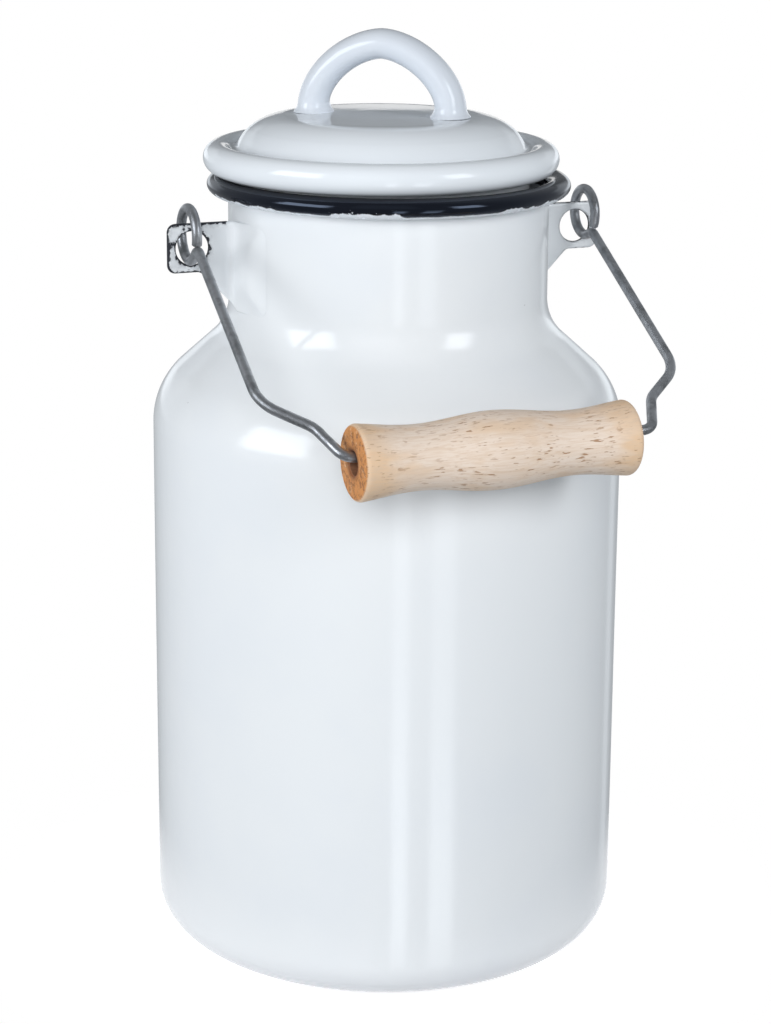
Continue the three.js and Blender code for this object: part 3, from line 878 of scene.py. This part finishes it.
def inset(loop, distance):
    """A closed loop moved to its left by a distance."""
    moved_points = []
    count = len(loop)
    for step, at in enumerate(loop):
        along = (loop[(step + 1) % count] - loop[step - 1]).normalized()
        moved_points.append(at + Vector((-along.y, along.x, 0.0)) * distance)
    return moved_points


def ear_mesh(ear, can):
    """The bent ear with rounded edges. Each point holds its distance from the nearest cut edge."""
    sheet = EarSheet(ear, can)
    loops = [sheet.outline(can), sheet.hole_loop()]
    rounds = 6
    half = ear.sheet / 2
    points = []
    faces = []
    edge = []
    ends = {-1: [], 1: []}
    for loop in loops:
        rings = []
        for step in range(rounds + 1):
            lean = math.pi * (step / rounds - 0.5)
            ring = []
            for flat in inset(loop, half * (1 - math.cos(lean))):
                ring.append(len(points))
                points.append((flat, half * math.sin(lean)))
                edge.append(half * abs(lean))
            rings.append(ring)
        faces += bridge(zip(rings, rings[1:]))
        ends[-1].append(rings[0])
        ends[1].append(rings[-1])
    margin = half * math.pi / 2
    for side, boundary in ends.items():
        fill_face(sheet, points, faces, edge, boundary, half * side, margin)
    placed = [sheet.place(flat.x, flat.y, out) for flat, out in points]
    for index, (flat, _) in enumerate(points):
        welded = clamped((flat.x - sheet.tab_length) / sheet.bend_length)
        below_tab = max(ear.top - ear.tab_height - ear.tab_corner - flat.y, 0.0)
        edge[index] += welded * ear.flange + below_tab
    return placed, faces, {"edge_distance": edge}


def fill_face(sheet, points, faces, edge, boundary, out, margin):
    """Fills one side of the ear between its outer loop and its hole."""
    outer = [points[index][0].to_2d() for index in boundary[0]]
    hole = [points[index][0].to_2d() for index in boundary[1]]
    rim = outer + hole
    inner_points = []
    columns = int(sheet.length / FACE_SPACING) + 1
    rows = int((sheet.ear.top - sheet.ear.foot) / FACE_SPACING) + 1
    for column in range(columns):
        for row in range(rows):
            at = Vector((column * FACE_SPACING, sheet.ear.foot + row * FACE_SPACING))
            if min((at - spot).length for spot in rim) > FACE_SPACING * 0.6:
                inner_points.append(at)
    loops = [(0, len(outer)), (len(outer), len(rim))]
    lines = []
    for first, last in loops:
        lines += [(step, step + 1) for step in range(first, last - 1)] + [(last - 1, first)]
    spots, _, triangles, origins, _, _ = delaunay_2d_cdt(rim + inner_points, lines, [], 1, 1e-7)
    names = {}
    reach = sheet.ear.hole_radius + sheet.middle
    known = boundary[0] + boundary[1]
    for triangle in triangles:
        centre = sum((spots[index] for index in triangle), Vector((0.0, 0.0))) / 3
        if (centre - sheet.hole).length < reach * 0.999:
            continue
        face = []
        for index in triangle:
            if index not in names:
                origin = origins[index][0] if origins[index] else len(known)
                if origin < len(known):
                    names[index] = known[origin]
                else:
                    names[index] = len(points)
                    at = spots[index]
                    points.append((at.to_3d(), out))
                    edge.append(margin + min((at - spot).length for spot in rim))
            face.append(names[index])
        faces.append(face)


class MILKCAN_OT_ears(bpy.types.Operator):
    """Builds the two ears that carry the bail"""

    bl_idname = "milk_can.ears"
    bl_label = "Ears"

    def execute(self, context):
        can = settings(context, "body")
        ear = settings(context, "ear")
        finish = settings(context, "finish")
        right = ear_mesh(ear, can)
        left = moved(right, Matrix.Rotation(math.pi, 4, "Z"))
        fresh = ear_enamel(finish, "ear_enamel", 0.42)
        chipped = ear_enamel(finish, "chipped_ear_enamel", 1.0)
        new_piece("ear_right", right, fresh, "can", "white_enamel", "right_ear")
        new_piece("ear_left", left, chipped, "can", "white_enamel", "left_ear")
        return {"FINISHED"}


def bail_half(bail, eye, reach, half_grip, plane):
    """Half of the bail in its own plane: across, along the arm and up from the plane."""
    radius, cut, lead, offset = eye
    ring = arc(Vector((0.0, 0.0)), radius, math.degrees(cut), 360 - math.degrees(lead), steps=60)
    stations = [Vector((plane, point.x, point.y)) for point in ring]
    leave = stations[-1]
    run = (offset - leave.z) / math.cos(lead)
    corner = Vector((plane, leave.y + run * math.sin(lead), offset))
    side = math.copysign(1.0, plane)
    crank = Vector((plane - side * bail.crank_step, bail.arm_length + bail.crank_rise, 0.0))
    corners = [
        (leave, 0.0),
        (corner, bail.root_bend),
        (Vector((plane, bail.arm_length, 0.0)), bail.arm_bend),
        (crank, bail.crank_bend),
        (Vector((side * (half_grip + bail.stand_off), reach, 0.0)), bail.entry_bend),
        (Vector((0.0, reach, 0.0)), 0.0),
    ]
    return [*stations, *rounded_route(corners, 14)[1:]]


class MILKCAN_OT_bail(bpy.types.Operator):
    """Builds the bail's wire with its two eyes"""

    bl_idname = "milk_can.bail"
    bl_label = "Bail"

    def execute(self, context):
        bail = settings(context, "bail")
        ear = settings(context, "ear")
        sides = settings(context, "detail").wire_sides
        arm = wire_in_grip - hinge_place
        plane = ear.reach - bail.eye_inset
        half_grip = (grip_high.x - grip_low.x) / 2
        left_eye = (bail.left_radius, bail.left_cut, bail.left_root, bail.left_offset)
        right_eye = (bail.right_radius, bail.right_cut, bail.right_root, bail.right_offset)
        left = bail_half(bail, left_eye, arm.length, half_grip, plane)
        right = bail_half(bail, right_eye, arm.length, half_grip, -plane)
        stations = with_cut_ends([*left, *reversed(right[:-1])], bail.wire * CUT_BEVEL)
        last = len(stations) - 1

        def section(step):
            radius = bail.wire * (1.0 - CUT_BEVEL if step in (0, last) else 1.0)
            return oval(radius, radius, sides)

        wire = sweep(stations, section, Vector((1.0, 0.0, 0.0)))
        along = arm.normalized()
        across = Vector((-1.0, 0.0, 0.0))
        up = across.cross(along)
        turn = Matrix((across, along, up)).transposed().to_4x4()
        placed = moved(wire, Matrix.Translation(hinge_place) @ turn)
        steel = wire_steel(settings(context, "finish"))
        new_piece("bail", placed, steel, "bail", "steel_wire", "bail_wire")
        return {"FINISHED"}


def with_cut_ends(stations, bevel):
    """The stations with a short step in from each end, where the cut edge is rounded."""
    first = stations[0] + (stations[1] - stations[0]).normalized() * bevel
    last = stations[-1] + (stations[-2] - stations[-1]).normalized() * bevel
    return [stations[0], first, *stations[1:-1], last, stations[-1]]


class MILKCAN_OT_grip(bpy.types.Operator):
    """Builds the turned wooden grip"""

    bl_idname = "milk_can.grip"
    bl_label = "Grip"

    def execute(self, context):
        bail = settings(context, "bail")
        half = (grip_high.x - grip_low.x) / 2
        centre = (grip_low + grip_high) / 2
        reach = half - bail.grip_corner
        steps = 80
        surface = []
        for step in range(steps + 1):
            along = -reach + 2 * reach * step / steps
            swell = bail.grip_swell * math.cos(math.pi * along / bail.grip_waist)
            surface.append(Vector((bail.grip_radius + swell, along)))
        corner = bail.grip_corner
        shoulder = surface[0].x - corner
        chamfer = bail.bore_radius * BORE_CHAMFER
        low_corner = arc(Vector((shoulder, -reach)), corner, -90, 0, steps=8)
        high_corner = arc(Vector((shoulder, reach)), corner, 0, 90, steps=8)
        low_mouth = Vector((bail.bore_radius + chamfer, -half))
        high_mouth = Vector((bail.bore_radius + chamfer, half))
        low_bore = Vector((bail.bore_radius, -half + chamfer))
        high_bore = Vector((bail.bore_radius, half - chamfer))
        outline = [
            low_bore,
            *straight(low_mouth, low_corner[0], steps=5),
            *low_corner[:-1],
            *surface,
            *high_corner[1:],
            *straight(high_corner[-1], high_mouth, steps=5)[1:],
            high_mouth,
            *straight(high_bore, low_bore, steps=30),
        ]
        waviness = settings(context, "body").waviness
        turned = revolve(outline, settings(context, "detail").grip_sides, waviness, seed=9.0)
        placed = moved(turned, Matrix.Translation(centre) @ Matrix.Rotation(math.pi / 2, 4, "Y"))
        wood = beech_wood(settings(context, "finish"), centre, half, bail.bore_radius)
        new_piece("grip", placed, wood, "grip", "beech", "wooden_grip")
        return {"FINISHED"}


class LidProfile:
    """Centres of the lid's three round stretches, in radius and height."""

    def __init__(self, lid):
        self.lid = lid
        self.shoulder = Vector((lid.plateau_radius, dome_high.z - lid.dome_shoulder))
        self.curl = Vector((lid.curl_reach, dome_low.z + lid.curl_radius))
        reach = lid.dome_shoulder + lid.groove_radius
        curl_reach = lid.curl_radius + lid.groove_radius
        across = self.curl - self.shoulder
        gap = across.length
        along = (gap**2 + reach**2 - curl_reach**2) / (2 * gap)
        up = math.sqrt(reach**2 - along**2)
        unit = across.normalized()
        self.groove = self.shoulder + unit * along + Vector((-unit.y, unit.x)) * up

    def face(self, grow):
        """The lid's face from its middle to the end of the curl, moved outwards by grow."""
        lid = self.lid
        wrap = math.degrees(lid.curl_wrap)
        dome_end = bearing(self.shoulder, self.groove)
        curl_start = bearing(self.curl, self.groove)
        bend = lid.groove_radius - grow
        top = Vector((0.0, dome_high.z + grow))
        dome = arc(self.shoulder, lid.dome_shoulder + grow, 90, dome_end, steps=36)
        hollow = arc(self.groove, bend, dome_end - 180, curl_start - 180, steps=10)
        curl = arc(self.curl, lid.curl_radius + grow, curl_start, -wrap, steps=48)
        flat = [*straight(top, dome[0], steps=16), *dome[:CROWNED_STEPS]]
        crowned = [point - Vector((0.0, self.drop(point.x))) for point in flat]
        return [*crowned, *dome[CROWNED_STEPS:], *hollow[1:-1], *curl]

    def drop(self, radius):
        """How far the top is pressed below its highest level at this radius."""
        share = radius / self.lid.plateau_radius
        fade = clamped((CROWN_EDGE - share) / (CROWN_EDGE - 1.0))
        return self.lid.crown * min(share, 1.0) ** 2 * fade


def lid_stand(lid):
    """Where the lid stands: in the middle of the mouth, and turned."""
    centre = (dome_low + dome_high) / 2
    return Matrix.Translation((centre.x, centre.y, 0.0)) @ Matrix.Rotation(lid.turn, 4, "Z")


class MILKCAN_OT_lid(bpy.types.Operator):
    """Builds the lid's dome with its curled edge, and the skirt below it"""

    bl_idname = "milk_can.lid"
    bl_label = "Lid"

    def execute(self, context):
        lid = settings(context, "lid")
        around = settings(context, "detail").around
        waviness = settings(context, "body").waviness
        finish = settings(context, "finish")
        # The lid gets the darker, bluer copy of the white: painted shade.
        enamel = white_enamel(finish, "lid_enamel_painted_shade", finish.lid_white_painted_shade, finish.gloss)
        profile = LidProfile(lid)
        stand = lid_stand(lid)
        outline = [*profile.face(0.0), *reversed(profile.face(-lid.sheet))]
        dome = moved(revolve(outline, around, waviness, seed=2.0), stand)
        new_piece("lid_cover", dome, enamel, "lid", "white_enamel", "lid_dome")
        inner = lid.skirt_radius - lid.sheet
        foot = skirt_low.z
        lip = Vector((inner - lid.sheet / 2, foot + lid.sheet / 2))
        collar = [
            Vector((inner, skirt_high.z)),
            Vector((inner, foot + lid.skirt_lip)),
            Vector((inner - lid.sheet, foot)),
            *arc(lip, lid.sheet / 2, -90, 0, steps=4),
            Vector((lid.skirt_radius, foot + lid.skirt_lip)),
            Vector((lid.skirt_radius, skirt_high.z)),
        ]
        skirt = moved(revolve(collar, around), stand)
        new_piece("lid_collar", skirt, enamel, "lid", "white_enamel", "lid_skirt")
        return {"FINISHED"}


def bow_bend(lid, point, rise):
    """A point of the half circle, moved on to the bow's own bend."""
    power = 2 / lid.bow_fullness
    across = math.copysign(abs(point.x) ** power, point.x)
    return Vector((across * lid.bow_span, abs(point.y) ** power * rise))


class MILKCAN_OT_bow(bpy.types.Operator):
    """Builds the lid's bow, with the enamel pooled round its two feet"""

    bl_idname = "milk_can.bow"
    bl_label = "Lid bow"

    def execute(self, context):
        lid = settings(context, "lid")
        base = dome_high.z
        rise = bow_high.z - base - lid.bow_thickness / 2 - lid.bow_pad_height
        spring = Vector((0.0, base + lid.bow_pad_height))
        half_circle = arc(Vector((0.0, 0.0)), 1.0, 180, 0, steps=96)
        arch = [spring + bow_bend(lid, point, rise) for point in half_circle]
        foot = Vector((-lid.bow_span, base - lid.sheet * 0.2))
        other_foot = Vector((lid.bow_span, foot.y))
        leg = straight(foot, arch[0], steps=8)
        other_leg = straight(other_foot, arch[-1], steps=8)
        route = [*leg, *arch, *reversed(other_leg)]
        stations = [Vector((point.x, 0.0, point.y)) for point in route]
        sides = settings(context, "detail").bow_sides

        def section(step):
            height = max(stations[step].z - base, 0.0) / lid.bow_pad_height
            spread = lid.bow_pad * math.exp(-POOL_DECAY * height) if height < 3 else 0.0
            return oval(lid.bow_width / 2 + spread, lid.bow_thickness / 2 + spread, sides)

        rod = sweep(stations, section, Vector((0.0, 1.0, 0.0)))
        finish = settings(context, "finish")
        # The bow gets the darker, cooler copy of the white: painted shade.
        enamel = white_enamel(finish, "bow_enamel_painted_shade", finish.bow_white_painted_shade, finish.gloss * 2.0)
        new_piece("bow", moved(rod, lid_stand(lid)), enamel, "lid", "white_enamel", "lid_bow")
        return {"FINISHED"}


def add_camera(studio):
    """The camera at the photograph's place."""
    data = bpy.data.cameras.new("photo_camera")
    data.lens = studio.lens
    data.shift_x = studio.shift_x
    data.shift_y = studio.shift_y
    data.clip_start = 0.01
    data.clip_end = 100.0
    camera = bpy.data.objects.new("photo_camera", data)
    bpy.context.scene.collection.objects.link(camera)
    turn = Matrix.Rotation(-studio.azimuth, 4, "Z")
    tilt = Matrix.Rotation(math.pi / 2 - studio.pitch, 4, "X")
    roll = Matrix.Rotation(studio.roll, 4, "Z")
    away = turn @ Vector((0.0, -studio.distance, studio.height))
    camera.matrix_world = Matrix.Translation(away) @ turn @ tilt @ roll
    bpy.context.scene.camera = camera


def add_lamp(name, azimuth, elevation, size, power):
    """A soft area lamp aimed at the can. Azimuth is counted from the front, to the right."""
    data = bpy.data.lights.new(name, "AREA")
    data.shape = "RECTANGLE"
    data.size, data.size_y = size
    data.energy = power
    lamp = bpy.data.objects.new(name, data)
    bpy.context.scene.collection.objects.link(lamp)
    rise = math.radians(elevation)
    flat = math.cos(rise)
    turn = math.radians(azimuth)
    away = Vector((flat * math.sin(turn), -flat * math.cos(turn), math.sin(rise)))
    middle = (cad_low.z + cad_high.z) / 2
    lamp.location = away * LAMP_DISTANCE + Vector((0.0, 0.0, middle))
    lamp.rotation_mode = "QUATERNION"
    lamp.rotation_quaternion = away.to_track_quat("Z", "Y")
    lamp.visible_glossy = False


class Room:
    """The studio as the glaze mirrors it, by compass turn and rise in degrees."""

    def __init__(self, recipe, azimuth):
        self.recipe = recipe
        direction = recipe.node("ShaderNodeTexCoord", output="Generated")
        split = recipe.node("ShaderNodeSeparateXYZ", None, {0: direction})
        across, ahead = split, split.out("Y")
        side = across * math.cos(azimuth) - ahead * math.sin(azimuth)
        away = across * math.sin(azimuth) + ahead * math.cos(azimuth)
        self.height = split.out("Z")
        self.turn = side.math("ARCTAN2", side, -away) * math.degrees(1.0)
        self.rise = side.math("ARCSINE", self.height) * math.degrees(1.0)
        self.apart = side.math("ABSOLUTE", self.turn)

    def stretch(self, value, low, high, soft):
        """1 from low to high, running out to 0 over a soft edge on either side."""
        return self.recipe.band(value, low - soft, low) * self.recipe.band(value, high + soft, high)

    def patch(self, turn, rise, soft):
        """A soft-edged bright patch between two turns and two rises."""
        return self.stretch(self.turn, *turn, soft) * self.stretch(self.rise, *rise, soft)


def add_world(studio):
    """White behind the can. Its light comes from a soft room, and the glaze mirrors that room."""
    world = bpy.data.worlds.new("studio_room")
    bpy.context.scene.world = world
    recipe = Recipe(world)
    path = recipe.node("ShaderNodeLightPath")
    room = Room(recipe, studio.azimuth)
    up = recipe.band(room.height, 0.0, 0.9)
    down = recipe.band(room.height, 0.0, -0.35)
    sides = studio.around + up * (studio.overhead - studio.around)
    shadow = room.stretch(room.turn, 35.0, 125.0, 35.0) * studio.shadow_side
    soft_light = sides + down * (studio.below - studio.around - shadow)
    shade = room.stretch(room.rise, 5.6, 22.0, 0.4) * recipe.band(room.apart, 148.0, 166.0)
    front_wall = studio.walls - recipe.band(room.apart, 110.0, 60.0) * 0.18
    walls = front_wall + shade * (studio.ceiling - front_wall)
    backdrop = recipe.band(room.apart, 140.0, 160.0) * room.stretch(room.rise, -3.0, 4.0, 2.0)
    paper = recipe.band(room.apart, 171.5, 173.0) * recipe.band(room.rise, 5.6, 5.2)
    key = room.patch((-70.0, -43.0), (10.0, 31.0), 8.0) * 4.8
    fill = room.patch((46.0, 58.0), (10.0, 30.0), 7.0) * 4.2
    front = room.patch((-20.0, 14.0), (24.0, 60.0), 9.0) * 0.15
    low = recipe.band(room.rise, -19.0, -23.0) + 0.8
    near_strip = room.patch((5.0, 10.0), (-40.0, -8.0), 2.5) * low * 1.5
    far_strip = room.patch((24.0, 33.0), (-40.0, -8.0), 3.0) * low * 1.35
    side_strip = room.patch((146.0, 152.0), (-40.0, 0.0), 4.0) * 0.4
    beside = recipe.band(room.apart, 126.0, 142.0) * recipe.band(room.apart, 168.0, 158.0)
    wings = beside * room.stretch(room.rise, -3.0, 18.0, 4.0) * 0.4
    strips = near_strip + far_strip + side_strip
    mirrored = walls + key + fill + front + strips + backdrop * 0.7 + wings
    glossy = path.out("Is Glossy Ray").most(path.out("Is Transmission Ray"))
    lit = soft_light + glossy * (mirrored - soft_light)
    seen = path.out("Is Camera Ray").most(glossy * paper)
    strength = lit + seen * (1.0 - lit)
    tint = recipe.mix(seen, (0.9, 0.95, 1.0, 1.0), (1.0, 1.0, 1.0, 1.0))
    light = recipe.node("ShaderNodeBackground", None, {"Color": tint, "Strength": strength})
    recipe.node("ShaderNodeOutputWorld", None, {"Surface": light})


def add_floor(studio):
    """A plain pale floor that keeps the can's shadow and runs out to white."""
    mesh = bpy.data.meshes.new("floor")
    edge = [(x, y, 0.0) for x, y in oval(studio.floor_radius, studio.floor_radius, FLOOR_SIDES)]
    mesh.from_pydata(edge, [], [range(FLOOR_SIDES)])
    floor = bpy.data.objects.new("floor", mesh)
    bpy.context.scene.collection.objects.link(floor)
    recipe = new_recipe("pale_floor")
    path = recipe.node("ShaderNodeLightPath")
    seen = path.out("Is Camera Ray") + path.out("Is Glossy Ray") + path.out("Is Transmission Ray")
    matt = recipe.node("ShaderNodeBsdfDiffuse", None, {"Color": (0.66, 0.66, 0.68, 1.0)})
    lift = recipe.node("ShaderNodeEmission", None, {"Strength": seen * studio.floor_lift})
    paper = recipe.node("ShaderNodeAddShader", None, {0: matt, 1: lift})
    clear = recipe.node("ShaderNodeBsdfTransparent")
    distance = recipe.length(recipe.place())
    reach = studio.floor_radius * MM
    fade = recipe.band(distance, reach * 0.5, reach * 0.98)
    floor_shader = recipe.node("ShaderNodeMixShader", None, {0: fade, 1: paper, 2: clear})
    recipe.node("ShaderNodeOutputMaterial", None, {"Surface": floor_shader})
    mesh.materials.append(recipe.owner)


class MILKCAN_OT_studio(bpy.types.Operator):
    """Sets up the camera, the lamps, the sky and the floor"""

    bl_idname = "milk_can.studio"
    bl_label = "Studio"

    def execute(self, context):
        studio = settings(context, "studio")
        add_camera(studio)
        add_world(studio)
        add_floor(studio)
        front = -math.degrees(studio.azimuth)
        add_lamp("key_left", front - 62, 9, (0.7, 0.6), 6.3)
        add_lamp("fill_right", front + 54, 26, (0.5, 0.5), 5.4)
        add_lamp("front_soft", front - 10, 24, (0.8, 0.5), 6.7)
        add_lamp("back_soft", front + 178, 4, (0.8, 0.5), 6.0)
        context.scene.view_settings.view_transform = "Standard"
        return {"FINISHED"}


OPERATORS = (
    MILKCAN_OT_studio,
    MILKCAN_OT_body,
    MILKCAN_OT_rim,
    MILKCAN_OT_ears,
    MILKCAN_OT_bail,
    MILKCAN_OT_grip,
    MILKCAN_OT_lid,
    MILKCAN_OT_bow,
)


class MILKCAN_PT_sidebar(bpy.types.Panel):
    """Lists the steps that build the can, and its sizes"""

    bl_idname = "MILKCAN_PT_sidebar"
    bl_label = "Milk can"
    bl_space_type = "VIEW_3D"
    bl_region_type = "UI"
    bl_category = "Milk can"

    def draw(self, context):
        column = self.layout.column(align=True)
        for operator in OPERATORS:
            column.operator(operator.bl_idname)
        for name, group in GROUPS.items():
            box = self.layout.box()
            for key in group.__annotations__:
                box.prop(getattr(context.scene, name), key)


def register():
    """Registers the classes, and gives the scene its groups of sizes."""
    for cls in (*GROUPS.values(), *OPERATORS, MILKCAN_PT_sidebar):
        bpy.utils.register_class(cls)
    for name, group in GROUPS.items():
        setattr(bpy.types.Scene, name, PointerProperty(type=group))


def unregister():
    """Takes all of that out again."""
    for name in GROUPS:
        delattr(bpy.types.Scene, name)
    for cls in reversed((*GROUPS.values(), *OPERATORS, MILKCAN_PT_sidebar)):
        bpy.utils.unregister_class(cls)


def main():
    """Builds the studio and every piece of the can."""
    register()
    bpy.ops.milk_can.studio()
    bpy.ops.milk_can.body()
    bpy.ops.milk_can.rim()
    bpy.ops.milk_can.ears()
    bpy.ops.milk_can.bail()
    bpy.ops.milk_can.grip()
    bpy.ops.milk_can.lid()
    bpy.ops.milk_can.bow()


if __name__ == "__main__":
    main()
